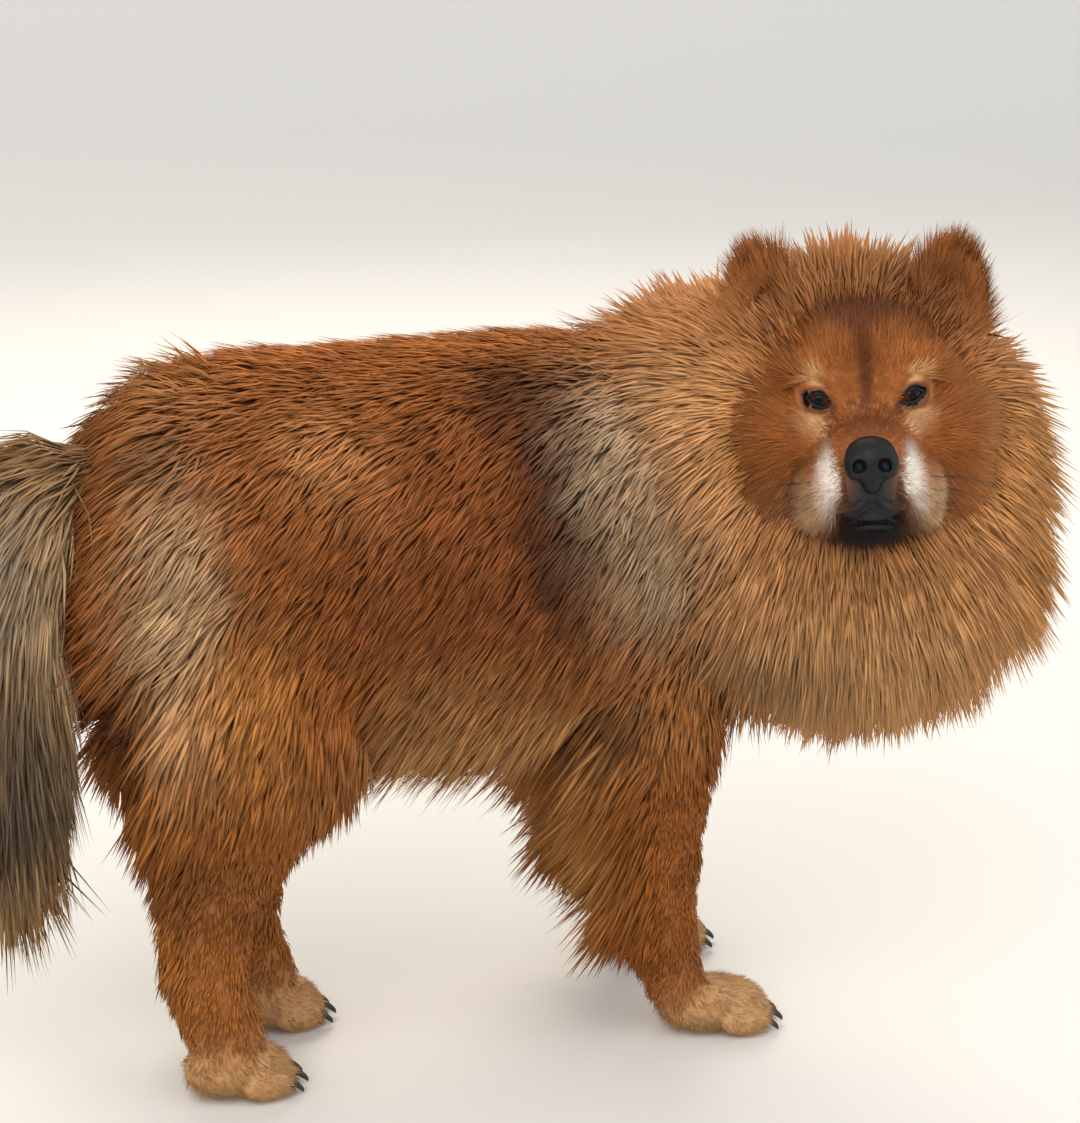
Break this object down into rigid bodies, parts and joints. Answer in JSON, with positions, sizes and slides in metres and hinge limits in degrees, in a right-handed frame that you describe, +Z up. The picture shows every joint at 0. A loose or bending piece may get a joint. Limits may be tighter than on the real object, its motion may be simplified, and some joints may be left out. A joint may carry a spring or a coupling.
{
  "type": "chow chow",
  "caption": "Chow chow dog standing still on all paws with its head turned to its right, a life-size model with a full mane, feathered legs and a hanging plumed tail.",
  "frame": {"origin": "on the floor, under the middle of the whole model", "axes": "+X the way the body faces, +Y to the dog's left, +Z up; the head is turned to the dog's right"},
  "size_m": [0.9326, 0.3942, 0.695],
  "materials": {
    "body_coat": "dense rough coat, not shiny",
    "mane_coat": "long soft hair, not shiny",
    "leg_coat": "short dense hair, not shiny",
    "paw_fur": "short pale hair, not shiny",
    "face_fur": "short plush hair, not shiny",
    "ear_fur": "short velvety hair, not shiny",
    "tail_coat": "long straight hair, not shiny",
    "nose_skin": "moist and finely pebbled",
    "lip_skin": "dark, smooth and slightly moist",
    "eye": "clear and wet over a dark brown iris"
  },
  "bodies": {
    "root": {"torso": "body_coat", "neck_mane": "mane_coat", "head": "face_fur", "lower_jaw": "lip_skin", "nose": "nose_skin", "eye_right": "eye", "eye_left": "eye", "ear_right": "ear_fur", "ear_left": "ear_fur", "foreleg_right": "leg_coat", "foreleg_left": "leg_coat", "hindleg_right": "leg_coat", "hindleg_left": "leg_coat", "paw_front_right": "paw_fur", "paw_front_left": "paw_fur", "paw_hind_right": "paw_fur", "paw_hind_left": "paw_fur", "tail": "tail_coat"}
  },
  "joints": []
}
